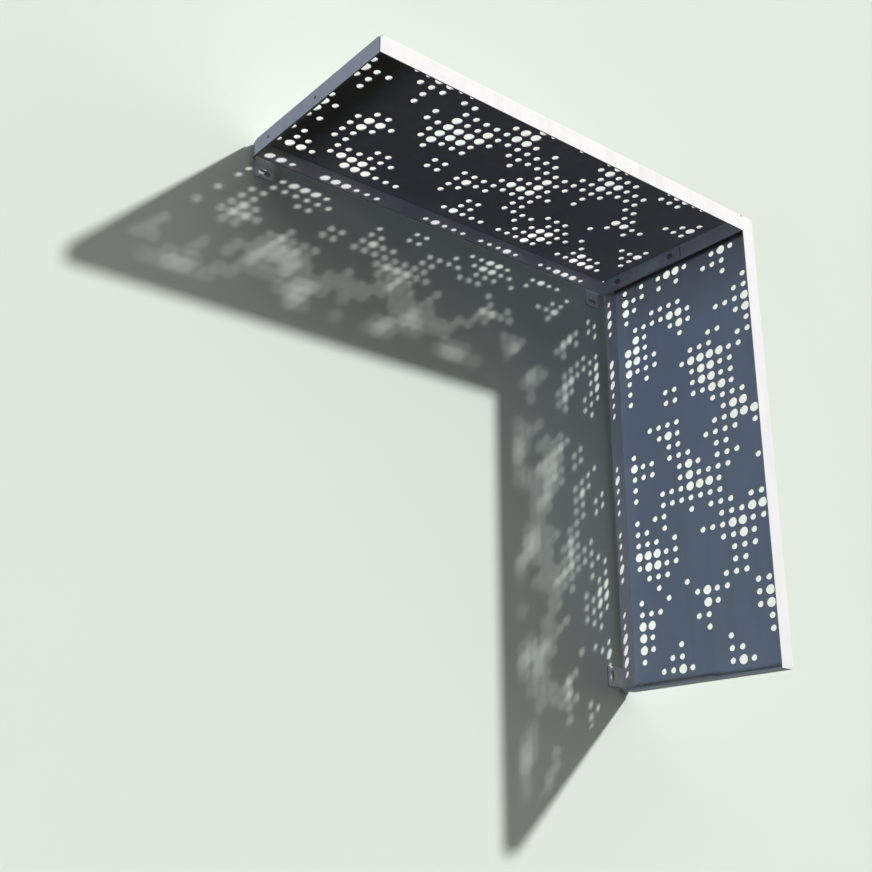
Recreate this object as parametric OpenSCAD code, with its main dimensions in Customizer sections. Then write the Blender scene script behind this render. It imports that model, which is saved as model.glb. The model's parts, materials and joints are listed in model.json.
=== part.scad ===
// Perforated sunshade for a window: two folded trays of perforated sheet,
// a canopy over the head and a fin down the right jamb, on three wall brackets.
// The sunshade lies on its wall side: X runs along the wall, Y up the wall, Z out of it.

/* [Panels] */
// Length of the canopy tray
canopy_l = 1200; // [700:2:2400]
// Length of the fin tray, from the canopy's top down
fin_l = 1206; // [700:2:2400]
// Depth of both trays, out from the wall
panel_d = 502; // [380:2:900]
// Gap between the trays and the wall
wall_gap = 18; // [14:1:40]
// Height of the folded flanges, outside
flange_h = 46; // [44:1:80]
// Thickness of the panel sheet
sheet = 3; // [2:0.5:4]
// Inside radius of the panel folds
fold_r = 2; // [1:0.5:3]
// Open seam between the front flange and an end flange
seam_gap = 1; // [0.5:0.5:4]
// Relief at a tray corner, from one fold to the end of the next
fold_relief = 1; // [0.5:0.5:4]

/* [Perforation] */
// Spacing of the hole grid
pitch = 32; // [30:1:60]
// Diameter of the small holes
small_d = 16; // [6:0.5:20]
// Diameter of the large holes
large_d = 25; // [10:0.5:28]
// Distance from a tray's front to its first row of holes
front_margin = 45; // [40:1:60]
// Least distance from a tray's other edges to a hole centre
hole_margin = 36; // [30:1:60]

/* [Brackets] */
// Thickness of the bracket plate
plate = 4; // [3:0.5:10]
// Inside radius of the bracket bend
bend_r = 4; // [3:0.5:8]
// Length of the leg inside the tray, from the wall
leg_l = 311; // [200:1:360]
// Height of the leg
leg_h = 40; // [30:1:40]
// Reach of the wall tab along the tray, from the leg's outer face
tab_w = 62; // [56:1:80]
// Reach of the wall tab below the tray's flanges
tab_drop = 42; // [38:1:100]
// Radius of the bracket's free corners
corner_r = 6; // [2:0.5:10]
// Play between the leg and the tray's wall-side flange
notch_play = 2; // [1:0.5:6]

/* [Fixings] */
// Diameter of the bolt holes in the end flanges
bolt_hole_d = 9; // [5:0.5:11]
// Length of the bolt slots in the bracket legs
bolt_slot_l = 20; // [14:1:28]
// Distance from the wall to the first bolt
near_bolt = 78; // [60:1:100]
// Distance from the leg's free end to the second bolt
bolt_end = 36; // [20:1:45]
// Width of the anchor slot in a wall tab
anchor_slot_w = 12; // [8:0.5:16]
// Length of the anchor slot in a wall tab
anchor_slot_l = 28; // [18:1:34]
// Distance from the tray's end to the anchor slot's middle
anchor_inset = 39; // [34:1:44]
// Distance from the flange edge to the anchor slot's middle
anchor_drop = 26; // [20:1:30]

/* [Hidden] */

$fn = 48;

// How far a cut or an outline runs past the face that it meets
overlap = 1;

// Overall size: the canopy's end butts against the fin's free flange edges
total_w = canopy_l + flange_h;
total_h = fin_l;

// Outside radius of the folds, which is also where the flat sheet begins
fold_outer = fold_r + sheet;
bend_outer = bend_r + plate;

// Where a fold stops short of a tray corner
fold_end = fold_outer + fold_relief;

// Where the bracket's flat tab begins, past the bend
flat_from = bend_outer + overlap / 2;

// The wall-side flange stops short of the tray's ends to let a bracket leg pass
notch = sheet + plate + notch_play;

// Leg and bolts, measured down from the outer face of the perforated sheet
leg_top = fold_outer;
bolt_drop = leg_top + leg_h / 2;
bolts = [near_bolt, leg_l - bolt_end];

// The tab's reach below the leg's top
tab_reach = flange_h + tab_drop - leg_top;

// Hole layout: o is a small hole, O a large one. The first row is at the front flange
// and the first column at the canopy's left end, which is the fin's top.
HOLES = [
    "...ooOOoo......Oo..o..oOo....oOOoo..",
    "o...ooo.oo...oOO......oOooo..ooo....",
    "Ooo..o...oooooOOo.o....oOOooo......o",
    "oo...o.o.OooOooooooo..ooOoooo.....oO",
    ".o.....ooOOOOo.ooooooooooo..oo...ooo",
    "........oOOOo...o..oOoo.o....oo.....",
    "o...oo..oOooo.....ooOo..o....OOoo...",
    "Oo.oOOo..o.......oOOOoo......o.o....",
    "O..oOo.....oo.oooooooo......o......o",
    "oo.oo......oo.oOoo..oo..ooo......ooO",
    "...oo..oo.....oo....oooo.ooo.o....oo",
    "oo..oooooo....o..oo...o.oOOoo.o....o",
    ".oo.oOOOo........oo....ooOOo..oOoo..",
    "oOOo..OOOooo....oOooo.oooOo..ooOOOo.",
];

rows = floor((panel_d - front_margin - hole_margin) / pitch) + 1;

function columns(length) = floor((length - 2 * hole_margin) / pitch) + 1;
function end_margin(length) = (length - (columns(length) - 1) * pitch) / 2;
function mark(row, col) = HOLES[row % len(HOLES)][col % len(HOLES[0])];
function hole_d(sign) = sign == "O" ? large_d : small_d;

module slot(length, width) {
    straight = length - width;
    square([straight, width], center = true);
    for (side = [-1, 1])
        translate([side * straight / 2, 0])
            circle(d = width);
}

// Quarter ring from the x axis round to the y axis
module quarter_ring(outer, inner) {
    intersection() {
        difference() {
            circle(outer);
            circle(inner);
        }
        square(outer);
    }
}

// Section of a bent sheet: one leg along +X, the other along +Y, outside corner at the origin
module angle_section(leg_x, leg_y, wall, radius) {
    outer = radius + wall;
    translate([outer, outer])
        rotate(180)
            quarter_ring(outer, radius);
    translate([outer, 0])
        square([leg_x - outer, wall]);
    translate([0, outer])
        square([wall, leg_y - outer]);
}

// Rectangle from the origin with its two far corners rounded
module round_end(length, width, radius) {
    square([length - radius, width]);
    translate([0, radius])
        square([length, width - 2 * radius]);
    for (y = [radius, width - radius])
        translate([length - radius, y])
            circle(radius);
}

// What is drawn at a tray's x = 0 end, at its other end
module far_end(length) {
    translate([length, 0, 0])
        mirror([1, 0, 0])
            children();
}

// Sheet folded down along both edges: a channel along Z, its outer face at y = 0
module channel(width, length) {
    linear_extrude(length)
        mirror([0, 1])
            union() {
                angle_section(width / 2 + overlap, flange_h, sheet, fold_r);
                translate([width, 0])
                    mirror([1, 0])
                        angle_section(width / 2 + overlap, flange_h, sheet, fold_r);
            }
}

// Block that takes the folds off a channel's end and leaves its walls
module corner_cut(width) {
    translate([-overlap, -fold_end, -overlap])
        cube([width + 2 * overlap, fold_end + overlap, fold_end + overlap]);
}

// Sheet with the two end flanges, which stop at the front flange's seam
module end_channel(length) {
    wall_l = panel_d - sheet - seam_gap;
    difference() {
        channel(length, wall_l);
        corner_cut(length);
        translate([0, 0, panel_d - fold_end])
            corner_cut(length);
        for (bolt = bolts)
            translate([-overlap, -bolt_drop, bolt - wall_gap])
                rotate([0, 90, 0])
                    cylinder(h = length + 2 * overlap, d = bolt_hole_d);
    }
}

// Sheet with the front flange over its whole length and the wall flange between the notches
module long_channel(length) {
    difference() {
        translate([0, 0, panel_d])
            rotate([0, 90, 0])
                channel(panel_d, length);
        for (end = [0, length])
            translate([end, 0, 0]) {
                translate([-fold_end, -fold_end, -overlap])
                    cube([2 * fold_end, fold_end + overlap, panel_d + 2 * overlap]);
                translate([-notch, -flange_h - overlap, -overlap])
                    cube([2 * notch, flange_h + 2 * overlap, fold_end + overlap]);
            }
    }
}

// Holes through the sheet, by the marks of the layout
module perforation(length) {
    first_col = end_margin(length);
    first_row = panel_d - front_margin;
    for (row = [0 : rows - 1], col = [0 : columns(length) - 1])
        if (mark(row, col) != ".")
            translate([first_col + col * pitch, overlap, first_row - row * pitch])
                rotate([90, 0, 0])
                    cylinder(h = sheet + 2 * overlap, d = hole_d(mark(row, col)));
}

// Folded tray: sheet in the plane y = 0, flanges towards -Y, wall side at z = 0
module tray(length) {
    difference() {
        union() {
            end_channel(length);
            long_channel(length);
        }
        perforation(length);
    }
}

// Side view of the leg, with its slots; the plate's bend is at the origin
module leg_outline() {
    difference() {
        translate([-overlap, -leg_h])
            round_end(leg_l + overlap, leg_h, corner_r);
        for (bolt = bolts)
            translate([bolt, leg_top - bolt_drop])
                slot(bolt_slot_l, bolt_hole_d);
    }
}

// Blank of bent plate: one side stands along Z, the other lies along X, outer corner at the origin
module bent_plate() {
    translate([0, overlap, 0])
        rotate([90, 0, 0])
            linear_extrude(tab_reach + 2 * overlap)
                angle_section(tab_w + overlap, leg_l + overlap, plate, bend_r);
}

// What stays of the blank as the leg and its bend
module leg_form() {
    translate([bend_outer + overlap, 0, 0])
        rotate([0, -90, 0])
            linear_extrude(bend_outer + 2 * overlap)
                leg_outline();
}

// What stays of the blank as the wall tab, with its anchor slot along the tray
module tab_form() {
    translate([0, 0, -2 * overlap])
        linear_extrude(plate + 3 * overlap)
            difference() {
                translate([flat_from, 0])
                    rotate(-90)
                        round_end(tab_reach, tab_w - flat_from, corner_r);
                translate([anchor_inset - sheet, leg_top - flange_h - anchor_drop])
                    slot(anchor_slot_l, anchor_slot_w);
            }
}

// Wall bracket of one bent plate, inside the tray's x = 0 end
module bracket() {
    translate([sheet, -leg_top, 0])
        intersection() {
            bent_plate();
            union() {
                leg_form();
                tab_form();
            }
        }
}

module at_canopy() {
    translate([-total_w / 2, total_h / 2, 0])
        children();
}

module at_fin() {
    translate([total_w / 2, total_h / 2, 0])
        rotate([0, 0, -90])
            children();
}

module canopy_panel() {
    color("gainsboro")
        at_canopy()
            translate([0, 0, wall_gap])
                tray(canopy_l);
}

module fin_panel() {
    color("gainsboro")
        at_fin()
            translate([0, 0, wall_gap])
                tray(fin_l);
}

module left_bracket() {
    color("darkgray")
        at_canopy()
            bracket();
}

module corner_bracket() {
    color("darkgray")
        at_canopy()
            far_end(canopy_l)
                bracket();
}

module fin_bracket() {
    color("darkgray")
        at_fin()
            far_end(fin_l)
                bracket();
}

canopy_panel();
fin_panel();
left_bracket();
corner_bracket();
fin_bracket();
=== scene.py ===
import json
import math

import bmesh
import bpy
from mathutils import Matrix, Vector


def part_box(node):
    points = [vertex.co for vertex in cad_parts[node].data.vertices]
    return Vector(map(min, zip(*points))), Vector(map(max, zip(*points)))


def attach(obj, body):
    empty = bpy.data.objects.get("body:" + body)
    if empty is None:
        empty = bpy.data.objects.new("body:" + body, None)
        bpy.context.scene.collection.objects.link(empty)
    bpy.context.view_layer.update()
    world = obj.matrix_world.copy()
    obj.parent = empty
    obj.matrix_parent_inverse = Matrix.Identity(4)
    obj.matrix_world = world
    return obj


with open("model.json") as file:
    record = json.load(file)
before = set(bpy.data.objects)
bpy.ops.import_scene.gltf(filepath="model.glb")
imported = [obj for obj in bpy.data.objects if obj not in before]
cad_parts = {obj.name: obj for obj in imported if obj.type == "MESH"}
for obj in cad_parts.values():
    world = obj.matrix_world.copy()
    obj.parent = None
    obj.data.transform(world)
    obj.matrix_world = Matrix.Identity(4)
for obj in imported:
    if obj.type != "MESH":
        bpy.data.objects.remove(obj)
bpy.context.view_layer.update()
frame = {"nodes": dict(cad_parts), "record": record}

RECORD = frame["record"]

# Stock sizes that the boxes of the solids do not give
SHEET = 0.003
PLATE = 0.004

# How near a plane a face's middle counts as on it, and the least normal.z of one that faces out
FACE_TOLERANCE = 0.0001
FACES_OUT = 0.5

# Axis that a tray opens along, towards its low side
CANOPY_OPENS = 1
FIN_OPENS = 0

# Camera of the photograph: a square image, with focal length and principal point in pixels
IMAGE_PX = 872
FOCAL_PX = 1236.4
PRINCIPAL_PX = (423.0, 459.7)
SENSOR_MM = 36.0
CAMERA_AT = Vector((-1.9030, -1.0707, 2.2722))
CAMERA_FORWARD = Vector((0.59043, 0.31939, -0.74120))
CAMERA_ROLL = math.radians(0.126)
WALL_UP = Vector((0, 1, 0))

# A grain is a noise's scale and detail, a band is the part of its range in use,
# a share is what that gives, and a bump is a strength and a depth
FULL = (0.0, 1.0)

# Light: a soft key over the corner, a weak fill from the open side and a sky over the corner.
# A travel is the way that the light goes
KEY_TRAVEL = Vector((-0.820, -0.803, -1.0))
KEY_STRENGTH = 3.85
KEY_ANGLE = math.radians(2.8)
KEY_COLOUR = (1.0, 0.99, 0.97)
FILL_TRAVEL = Vector((1.0, 0.31, -0.12))
FILL_STRENGTH = 0.78
FILL_ANGLE = math.radians(14)
FILL_COLOUR = (0.59, 0.71, 1.0)
SKY_FROM = Vector((0.45, 0.89, 0.0)).normalized()
SKY_COLOUR = (1.0, 0.96, 0.88, 1)
SKY_STRENGTH = 0.68
SKY_LOW_STRENGTH = 0.01
SKY_RISE = (0.08, 0.34)
LAMP_DISTANCE = 2.0

# Floor, which stands for the wall: what is seen of it and what it sends back to the object
FLOOR_SIDE = 40.0
FLOOR_COLOUR = (0.715, 0.785, 0.73, 1)
FLOOR_BOUNCE = (0.045, 0.047, 0.047, 1)
FLOOR_ROUGHNESS = 0.9
FLOOR_GLOSS = 0.1
PATCH_GRAIN = (1.5, 3.0)
PATCH_SHADE = 0.97
PLASTER_GRAIN = (140.0, 3.0)
PLASTER_BUMP = (0.05, 0.0006)
BACKDROP_COLOUR = (0.74, 0.81, 0.74, 1)

# Coats: tone at the head and at the foot, dust in the run-off streaks, and what a worn edge shows
PALE_COAT = (
    (0.83, 0.835, 0.85, 1),
    (0.815, 0.82, 0.835, 1),
    (0.66, 0.655, 0.645, 1),
    (0.52, 0.53, 0.55, 1),
)
# Inside coat, painted shade: the trays are pale all over, and this darker tone stands for the shade
# inside them; its dust and worn edges are real
PAINTED_SHADE_COAT = (
    (0.305, 0.295, 0.275, 1),
    (0.435, 0.50, 0.54, 1),
    (0.38, 0.39, 0.41, 1),
    (0.45, 0.47, 0.50, 1),
)
PALE_GLOSS = 0.12
PAINTED_SHADE_GLOSS = 0.01
PALE_ROUGHNESS = (0.50, 0.62)
PAINTED_SHADE_ROUGHNESS = (0.64, 0.76)
CLOUD = (0.95, 0.95, 0.95, 1)
CLOUD_GRAIN = (9.0, 4.0)
CLOUD_BAND = (0.35, 0.65)
STREAK_GRAIN = (26.0, 5.0)
STREAK_STRETCH = (1.0, 0.12, 1.0)
STREAK_BAND = (0.52, 0.78)
STREAK_SHARE = (0.0, 0.5)
SHEEN_GRAIN = (60.0, 3.0)
SHEEN_BAND = (0.3, 0.7)
SKIN_GRAIN = (700.0, 2.0)
SKIN_BUMP = (0.12, 0.0004)

# Heights on the wall between which a coat goes from its foot's tone to its head's: on the inside coat
# painted skylight at the foot and painted shade under the canopy at the head, on the pale coat a
# slight shift
FOOT_Y = 0.38
HEAD_Y = 0.58

# Bracket steel: two tones of its crystals, grime, and what a worn edge shows
# The first steel is painted shade: the brackets are one pale steel, and this darker copy stands for
# the shade on the legs and the tabs' edges
PAINTED_SHADE_STEEL = (
    (0.25, 0.255, 0.265, 1),
    (0.31, 0.315, 0.325, 1),
    (0.20, 0.205, 0.215, 1),
    (0.45, 0.46, 0.47, 1),
)
TAB_STEEL = (
    (0.76, 0.775, 0.77, 1),
    (0.86, 0.87, 0.865, 1),
    (0.62, 0.63, 0.63, 1),
    (0.50, 0.51, 0.52, 1),
)
SPANGLE_SCALE = 95.0
GRIME_GRAIN = (30.0, 5.0)
GRIME_BAND = (0.45, 0.75)
GRIME_SHARE = (0.0, 0.6)
STEEL_ROUGHNESS = (0.38, 0.56)
STEEL_METALLIC = 0.2
STEEL_GRAIN = (420.0, 3.0)
STEEL_BUMP = (0.10, 0.0003)

# Bolt steel: blackened, stained, and what a worn edge shows
BOLT_BLACK = (0.15, 0.155, 0.165, 1)
BOLT_STAIN = (0.09, 0.09, 0.095, 1)
BOLT_BARE = (0.40, 0.41, 0.42, 1)
STAIN_GRAIN = (260.0, 4.0)
STAIN_BAND = (0.4, 0.7)
BOLT_SHEEN_GRAIN = (500.0, 2.0)
BOLT_ROUGHNESS = (0.32, 0.48)
BOLT_METALLIC = 0.7
TURNING_GRAIN = (1500.0, 1.0)
TURNING_BUMP = (0.08, 0.0002)

# Wear: how far it reaches from an edge, and its most at the edge
PALE_WEAR = (0.0016, 0.70)
PAINTED_SHADE_WEAR = (0.0008, 0.40)
STEEL_WEAR = (0.0008, 0.40)
BOLT_WEAR = (0.0008, 0.50)
EDGE_SAMPLES = 4
EDGE_BAND = (0.97, 0.80)
RUB_GRAIN = (85.0, 4.0)
RUB_BAND = (0.42, 0.62)
RUB_SHARE = (0.15, 1.0)

# Bolts: M6 screws with washers on the bracket legs, in press nuts that are flush outside
SCREW_D = 0.006
HEAD_FLATS = 0.010
HEAD_H = 0.004
WASHER_D = 0.016
WASHER_BORE = 0.0066
WASHER_T = 0.0016
NUT_D = 0.00896
TIP_RECESS = 0.0008
CHAMFER = 0.0003
ROUND_STEPS = 48
HEX_STEP = math.pi / 3
CHAMFER_ANGLE = math.radians(30)
SHARP_ANGLE = math.radians(28)


# Materials


def seen_rays(tree):
    """1 for rays from the camera, from a gloss or through glass, else 0."""
    rays = tree.nodes.new("ShaderNodeLightPath")
    seen = rays.outputs["Is Camera Ray"]
    for other in ("Is Glossy Ray", "Is Transmission Ray"):
        either = tree.nodes.new("ShaderNodeMath")
        either.operation = "MAXIMUM"
        tree.links.new(seen, either.inputs[0])
        tree.links.new(rays.outputs[other], either.inputs[1])
        seen = either.outputs["Value"]
    return seen


class Nodes:
    """A material's node tree with short ways to add and join nodes."""

    def __init__(self, name):
        self.material = bpy.data.materials.new(name)
        self.material.use_nodes = True
        self.tree = self.material.node_tree
        self.shader = self.tree.nodes["Principled BSDF"]
        self.place = self.add("ShaderNodeTexCoord").outputs["Object"]

    def add(self, kind, **values):
        node = self.tree.nodes.new(kind)
        for key, value in values.items():
            setattr(node, key, value)
        return node

    def join(self, source, target):
        self.tree.links.new(source, target)

    def feed(self, socket, source):
        """Source into one of the shader's sockets."""
        self.join(source, self.shader.inputs[socket])

    def fix(self, socket, value):
        """Constant on one of the shader's sockets."""
        self.shader.inputs[socket].default_value = value

    def noise(self, scale, detail, stretch=(1, 1, 1)):
        mapping = self.add("ShaderNodeMapping")
        mapping.inputs["Scale"].default_value = stretch
        self.join(self.place, mapping.inputs["Vector"])
        noise = self.add("ShaderNodeTexNoise")
        noise.inputs["Scale"].default_value = scale
        noise.inputs["Detail"].default_value = detail
        self.join(mapping.outputs["Vector"], noise.inputs["Vector"])
        return noise.outputs["Fac"]

    def remap(self, value, band, share):
        """The value's place in the band, as the like place in the share, held at its ends."""
        node = self.add("ShaderNodeMapRange")
        node.inputs["From Min"].default_value = band[0]
        node.inputs["From Max"].default_value = band[1]
        node.inputs["To Min"].default_value = share[0]
        node.inputs["To Max"].default_value = share[1]
        self.join(value, node.inputs["Value"])
        return node.outputs["Result"]

    def mix(self, factor, first, second, blend="MIX"):
        node = self.add("ShaderNodeMix", data_type="RGBA", blend_type=blend)
        self.join(factor, node.inputs["Factor"])
        for socket, colour in (("A", first), ("B", second)):
            target = next(i for i in node.inputs if i.name == socket and i.type == "RGBA")
            if isinstance(colour, bpy.types.NodeSocket):
                self.join(colour, target)
            else:
                target.default_value = colour
        return next(o for o in node.outputs if o.type == "RGBA")

    def times(self, first, second):
        node = self.add("ShaderNodeMath", operation="MULTIPLY")
        self.join(first, node.inputs[0])
        self.join(second, node.inputs[1])
        return node.outputs["Value"]

    def height(self):
        """0 at FOOT_Y and below, 1 at HEAD_Y and above: the blend of the coats' painted light and
        shade by height.
        """
        split = self.add("ShaderNodeSeparateXYZ")
        self.join(self.place, split.inputs["Vector"])
        return self.remap(split.outputs["Y"], (FOOT_Y, HEAD_Y), FULL)

    def worn_edges(self, reach, most):
        """Up to most along the edges, in patches, and 0 about reach away from them."""
        rounded = self.add("ShaderNodeBevel", samples=EDGE_SAMPLES)
        rounded.inputs["Radius"].default_value = reach
        facing = self.add("ShaderNodeVectorMath", operation="DOT_PRODUCT")
        self.join(rounded.outputs["Normal"], facing.inputs[0])
        self.join(self.add("ShaderNodeNewGeometry").outputs["Normal"], facing.inputs[1])
        edge = self.remap(facing.outputs["Value"], EDGE_BAND, (0.0, most))
        patches = self.remap(self.noise(*RUB_GRAIN), RUB_BAND, RUB_SHARE)
        return self.times(edge, patches)

    def bump(self, height, strength, distance):
        node = self.add("ShaderNodeBump")
        node.inputs["Strength"].default_value = strength
        node.inputs["Distance"].default_value = distance
        self.join(height, node.inputs["Height"])
        self.feed("Normal", node.outputs["Normal"])


def powder_coat(name, coat, gloss, roughness, wear):
    """Powder coat: cloudy tone that goes from foot to head as painted light and shade, faint run-off
    streaks, rubbed edges and a fine orange-peel skin.
    """
    head, foot, dust, bare = coat
    nodes = Nodes(name)
    clouds = nodes.remap(nodes.noise(*CLOUD_GRAIN), CLOUD_BAND, FULL)
    # Tone by height: painted skylight low down and painted shade near the canopy
    tone = nodes.mix(clouds, nodes.mix(nodes.height(), foot, head), CLOUD, "MULTIPLY")
    streaks = nodes.remap(nodes.noise(*STREAK_GRAIN, STREAK_STRETCH), STREAK_BAND, STREAK_SHARE)
    dusty = nodes.mix(streaks, tone, dust)
    nodes.feed("Base Color", nodes.mix(nodes.worn_edges(*wear), dusty, bare))
    nodes.feed("Roughness", nodes.remap(nodes.noise(*SHEEN_GRAIN), SHEEN_BAND, roughness))
    nodes.fix("Specular IOR Level", gloss)
    nodes.bump(nodes.noise(*SKIN_GRAIN), *SKIN_BUMP)
    return nodes.material


def galvanised(name, steel):
    """Dull galvanised plate: a spangle of crystals under a grey skin, rubbed at the edges."""
    first, second, dirt, bare = steel
    nodes = Nodes(name)
    spangle = nodes.add("ShaderNodeTexVoronoi")
    spangle.inputs["Scale"].default_value = SPANGLE_SCALE
    nodes.join(nodes.place, spangle.inputs["Vector"])
    crystals = nodes.add("ShaderNodeSeparateColor")
    nodes.join(spangle.outputs["Color"], crystals.inputs["Color"])
    plate = nodes.mix(crystals.outputs["Red"], first, second)
    grime = nodes.remap(nodes.noise(*GRIME_GRAIN), GRIME_BAND, GRIME_SHARE)
    grimy = nodes.mix(grime, plate, dirt)
    nodes.feed("Base Color", nodes.mix(nodes.worn_edges(*STEEL_WEAR), grimy, bare))
    nodes.feed("Roughness", nodes.remap(crystals.outputs["Green"], FULL, STEEL_ROUGHNESS))
    nodes.fix("Metallic", STEEL_METALLIC)
    nodes.bump(nodes.noise(*STEEL_GRAIN), *STEEL_BUMP)
    return nodes.material


def blackened(name):
    """Blackened steel of the screws, washers and press nuts, with stains and fine turning marks."""
    nodes = Nodes(name)
    stains = nodes.remap(nodes.noise(*STAIN_GRAIN), STAIN_BAND, FULL)
    dull = nodes.mix(stains, BOLT_BLACK, BOLT_STAIN)
    nodes.feed("Base Color", nodes.mix(nodes.worn_edges(*BOLT_WEAR), dull, BOLT_BARE))
    nodes.feed("Roughness", nodes.remap(nodes.noise(*BOLT_SHEEN_GRAIN), SHEEN_BAND, BOLT_ROUGHNESS))
    nodes.fix("Metallic", BOLT_METALLIC)
    nodes.bump(nodes.noise(*TURNING_GRAIN), *TURNING_BUMP)
    return nodes.material


def plaster(name):
    """Plain pale floor with a faint plaster grain, which sends less light back than is seen of it."""
    nodes = Nodes(name)
    patches = nodes.noise(*PATCH_GRAIN)
    darker = tuple(channel * PATCH_SHADE for channel in FLOOR_COLOUR[:3]) + (1,)
    tone = nodes.mix(patches, FLOOR_COLOUR, darker)
    nodes.feed("Base Color", nodes.mix(seen_rays(nodes.tree), FLOOR_BOUNCE, tone))
    nodes.fix("Roughness", FLOOR_ROUGHNESS)
    nodes.fix("Specular IOR Level", FLOOR_GLOSS)
    nodes.bump(nodes.noise(*PLASTER_GRAIN), *PLASTER_BUMP)
    return nodes.material


# Trays and brackets


def pocket_of(node, opens):
    """Box of a tray's inside: its faces are one sheet within the tray's, apart from the open side."""
    low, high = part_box(node)
    wall = Vector((SHEET, SHEET, SHEET))
    wall_low = wall.copy()
    wall_low[opens] = 0
    tolerance = Vector((FACE_TOLERANCE, FACE_TOLERANCE, FACE_TOLERANCE))
    return low + wall_low - tolerance, high - wall + tolerance


def paint_tray(node, opens, outside, inside):
    """Outer colour all over, and the darker inner one, painted shade, within the tray and on its open
    rim.

    The inner side of the flange at the wall keeps the outer colour.
    """
    solid = frame["nodes"][node]
    solid.data.materials.clear()
    solid.data.materials.append(outside)
    solid.data.materials.append(inside)
    low, high = pocket_of(node, opens)
    # This box is one tolerance wider than the pocket, and a face may be one more off its plane
    near = 2 * FACE_TOLERANCE
    for face in solid.data.polygons:
        place = face.center
        within = all(low[i] <= place[i] <= high[i] for i in range(3))
        at_wall = place.z < low.z + near
        on_rim = place[opens] < low[opens] + near
        # Inside faces and the open rim take the painted shade; the wall flange's inside keeps the
        # pale coat
        face.material_index = int(on_rim or within and not at_wall)


def paint_bracket(node, leg, tab):
    """A darker copy of the steel, painted shade, on the leg and the edges, and the steel's own
    lighter tone on the face of the tab.
    """
    solid = frame["nodes"][node]
    solid.data.materials.clear()
    solid.data.materials.append(leg)
    solid.data.materials.append(tab)
    for face in solid.data.polygons:
        low = face.center.z < PLATE + FACE_TOLERANCE
        # The tab's face keeps the steel's own tone; the leg and the tab's edges take the painted
        # shade
        face.material_index = int(low and face.normal.z > FACES_OUT)


# Bolts


def rings_to_mesh(name, rings, closed, material):
    """Closed mesh through rings of points, capped at both ends or joined last to first."""
    mesh = bpy.data.meshes.new(name)
    shape = bmesh.new()
    loops = [[shape.verts.new(point) for point in ring] for ring in rings]
    pairs = list(zip(loops, loops[1:]))
    if closed:
        pairs.append((loops[-1], loops[0]))
    for lower, upper in pairs:
        for i, vertex in enumerate(lower):
            j = (i + 1) % len(lower)
            shape.faces.new((vertex, lower[j], upper[j], upper[i]))
    if not closed:
        shape.faces.new(list(reversed(loops[0])))
        shape.faces.new(loops[-1])
    bmesh.ops.recalc_face_normals(shape, faces=shape.faces)
    shape.to_mesh(mesh)
    shape.free()
    mesh.polygons.foreach_set("use_smooth", [True] * len(mesh.polygons))
    mesh.set_sharp_from_angle(angle=SHARP_ANGLE)
    mesh.materials.append(material)
    piece = bpy.data.objects.new(name, mesh)
    bpy.context.scene.collection.objects.link(piece)
    return piece


def circle(radius, height):
    angles = [2 * math.pi * i / ROUND_STEPS for i in range(ROUND_STEPS)]
    return [Vector((radius * math.cos(angle), radius * math.sin(angle), height)) for angle in angles]


def hexagon(flats, height, chamfer_from=None):
    """Ring of a hexagon; past chamfer_from its height falls off, as under a turned chamfer."""
    ring = []
    for i in range(ROUND_STEPS):
        angle = 2 * math.pi * i / ROUND_STEPS
        from_flat = (angle + HEX_STEP / 2) % HEX_STEP - HEX_STEP / 2
        radius = flats / 2 / math.cos(from_flat)
        drop = 0
        if chamfer_from is not None:
            drop = max(0, radius - chamfer_from) * math.tan(CHAMFER_ANGLE)
        ring.append(Vector((radius * math.cos(angle), radius * math.sin(angle), height - drop)))
    return ring


def screw_rings(reach):
    """Rings of a hex screw whose head stands on z = 0 and whose shank runs down by reach."""
    shank = SCREW_D / 2
    return [
        circle(shank - 2 * CHAMFER, -reach),
        circle(shank, -reach + 2 * CHAMFER),
        circle(shank, 0),
        hexagon(HEAD_FLATS, 0),
        hexagon(HEAD_FLATS, HEAD_H, HEAD_FLATS / 2 - CHAMFER),
        circle(HEAD_FLATS / 2 - CHAMFER, HEAD_H),
        circle(HEAD_FLATS / 2 - 3 * CHAMFER, HEAD_H - CHAMFER),
    ]


def ring_section(bore, outside, low, high):
    """Rings of a flat ring with chamfered outer edges."""
    return [
        circle(bore / 2, low),
        circle(outside / 2 - CHAMFER, low),
        circle(outside / 2, low + CHAMFER),
        circle(outside / 2, high - CHAMFER),
        circle(outside / 2 - CHAMFER, high),
        circle(bore / 2, high),
    ]


def add_bolt(name, face, inward, material):
    """Screw, washer and press nut on the line through a point of the flange's outer face."""
    turn = inward.to_track_quat("Z", "Y").to_matrix().to_4x4()
    stack = SHEET + PLATE
    reach = stack + WASHER_T - TIP_RECESS
    at_face = Matrix.Translation(face) @ turn
    at_leg = Matrix.Translation(face + inward * stack) @ turn
    at_head = Matrix.Translation(face + inward * (stack + WASHER_T)) @ turn
    pieces = (
        ("nut", ring_section(SCREW_D, NUT_D, 0, stack), True, at_face),
        ("washer", ring_section(WASHER_BORE, WASHER_D, 0, WASHER_T), True, at_leg),
        ("screw", screw_rings(reach), False, at_head),
    )
    for kind, rings, closed, place in pieces:
        piece = rings_to_mesh(f"{name}_{kind}", rings, closed, material)
        piece.data.transform(place)
        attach(piece, "root")


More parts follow.
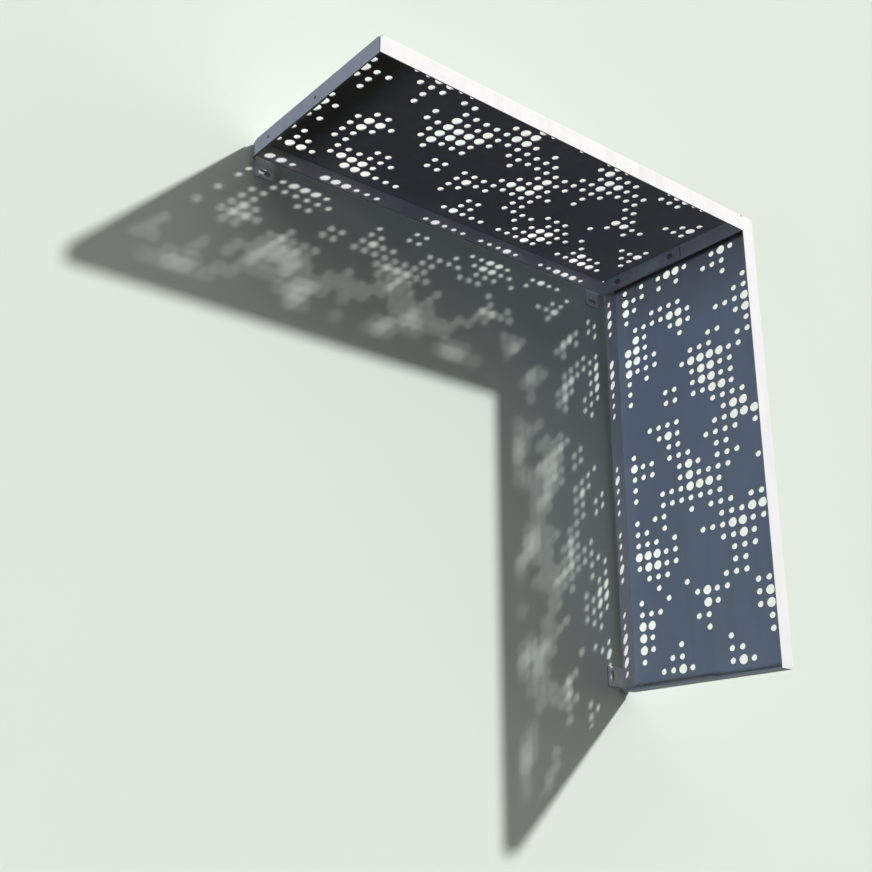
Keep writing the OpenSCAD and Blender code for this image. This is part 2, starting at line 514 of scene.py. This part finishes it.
def add_bolts(material):
    """One bolt in each way through a leg and an end flange; the ways are boxes of the record."""
    ends = {
        "left": ("canopy_panel", Vector((1, 0, 0))),
        "corner": ("canopy_panel", Vector((-1, 0, 0))),
        "fin": ("fin_panel", Vector((0, 1, 0))),
    }
    for way in RECORD["physics"]["openings"]:
        if not way["name"].endswith("bolt_way"):
            continue
        low, high = (Vector(corner) for corner in way["box_m"])
        end, place = way["name"].split("_")[:2]
        node, inward = ends[end]
        axis = max(range(3), key=lambda i: abs(inward[i]))
        face = (low + high) / 2
        face[axis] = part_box(node)[0 if inward[axis] > 0 else 1][axis]
        add_bolt(f"{end}_{place}", face, inward, material)


# Stage


def add_floor():
    mesh = bpy.data.meshes.new("floor")
    half = FLOOR_SIDE / 2
    corners = [(-half, -half, 0), (half, -half, 0), (half, half, 0), (-half, half, 0)]
    mesh.from_pydata(corners, [], [(0, 1, 2, 3)])
    mesh.materials.append(plaster("floor_plaster"))
    floor = bpy.data.objects.new("floor", mesh)
    bpy.context.scene.collection.objects.link(floor)


def add_light(name, travel, strength, angle, colour):
    """Far lamp, seen from the object as a disc of that angle, whose light travels that way."""
    lamp = bpy.data.lights.new(name, "SUN")
    lamp.energy = strength
    lamp.angle = angle
    lamp.color = colour
    holder = bpy.data.objects.new(name, lamp)
    holder.location = -LAMP_DISTANCE * travel
    holder.rotation_euler = travel.to_track_quat("-Z", "Y").to_euler()
    bpy.context.scene.collection.objects.link(holder)


def add_sky():
    """Sky that lights from over the corner, and a pale backdrop for the rays that are seen."""
    world = bpy.data.worlds.new("sky")
    bpy.context.scene.world = world
    world.use_nodes = True
    tree = world.node_tree
    light = tree.nodes["Background"]
    light.inputs["Color"].default_value = SKY_COLOUR
    along = tree.nodes.new("ShaderNodeVectorMath")
    along.operation = "DOT_PRODUCT"
    along.inputs[1].default_value = SKY_FROM
    tree.links.new(tree.nodes.new("ShaderNodeTexCoord").outputs["Generated"], along.inputs[0])
    rise = tree.nodes.new("ShaderNodeMapRange")
    rise.inputs["From Min"].default_value = SKY_RISE[0]
    rise.inputs["From Max"].default_value = SKY_RISE[1]
    rise.inputs["To Min"].default_value = SKY_LOW_STRENGTH
    rise.inputs["To Max"].default_value = SKY_STRENGTH
    tree.links.new(along.outputs["Value"], rise.inputs["Value"])
    tree.links.new(rise.outputs["Result"], light.inputs["Strength"])
    backdrop = tree.nodes.new("ShaderNodeBackground")
    backdrop.inputs["Color"].default_value = BACKDROP_COLOUR
    either = tree.nodes.new("ShaderNodeMixShader")
    tree.links.new(seen_rays(tree), either.inputs["Fac"])
    tree.links.new(light.outputs["Background"], either.inputs[1])
    tree.links.new(backdrop.outputs["Background"], either.inputs[2])
    tree.links.new(either.outputs["Shader"], tree.nodes["World Output"].inputs["Surface"])


def add_camera():
    """Camera of the photograph: the wall's up is the image's up, apart from a slight roll."""
    forward = CAMERA_FORWARD.normalized()
    level = forward.cross(WALL_UP).normalized()
    upright = level.cross(forward)
    right = level * math.cos(CAMERA_ROLL) + upright * math.sin(CAMERA_ROLL)
    up = right.cross(forward)
    data = bpy.data.cameras.new("camera")
    data.sensor_width = SENSOR_MM
    data.lens = SENSOR_MM * FOCAL_PX / IMAGE_PX
    data.shift_x = 0.5 - PRINCIPAL_PX[0] / IMAGE_PX
    data.shift_y = PRINCIPAL_PX[1] / IMAGE_PX - 0.5
    data.clip_end = 2 * FLOOR_SIDE
    camera = bpy.data.objects.new("camera", data)
    turn = Matrix((right, up, -forward)).transposed().to_4x4()
    camera.matrix_world = Matrix.Translation(CAMERA_AT) @ turn
    bpy.context.scene.collection.objects.link(camera)
    bpy.context.scene.camera = camera


pale = powder_coat("pale_coat", PALE_COAT, PALE_GLOSS, PALE_ROUGHNESS, PALE_WEAR)
# Inside coat of painted shade, a darker copy that stands for the shade inside the pale trays
painted_shade = powder_coat("painted_shade_coat", PAINTED_SHADE_COAT, PAINTED_SHADE_GLOSS, PAINTED_SHADE_ROUGHNESS, PAINTED_SHADE_WEAR)
# Darker copy of the bracket steel, painted shade on the legs and the tabs' edges
leg_painted_shade = galvanised("leg_painted_shade", PAINTED_SHADE_STEEL)
tab_steel = galvanised("tab_steel", TAB_STEEL)
fixings = blackened("blackened_steel")

paint_tray("canopy_panel", CANOPY_OPENS, pale, painted_shade)
paint_tray("fin_panel", FIN_OPENS, pale, painted_shade)
for bracket in ("left_bracket", "corner_bracket", "fin_bracket"):
    paint_bracket(bracket, leg_painted_shade, tab_steel)
add_bolts(fixings)
add_floor()
add_light("key", KEY_TRAVEL, KEY_STRENGTH, KEY_ANGLE, KEY_COLOUR)
add_light("fill", FILL_TRAVEL, FILL_STRENGTH, FILL_ANGLE, FILL_COLOUR)
add_sky()
add_camera()
bpy.context.scene.view_settings.view_transform = "Standard"
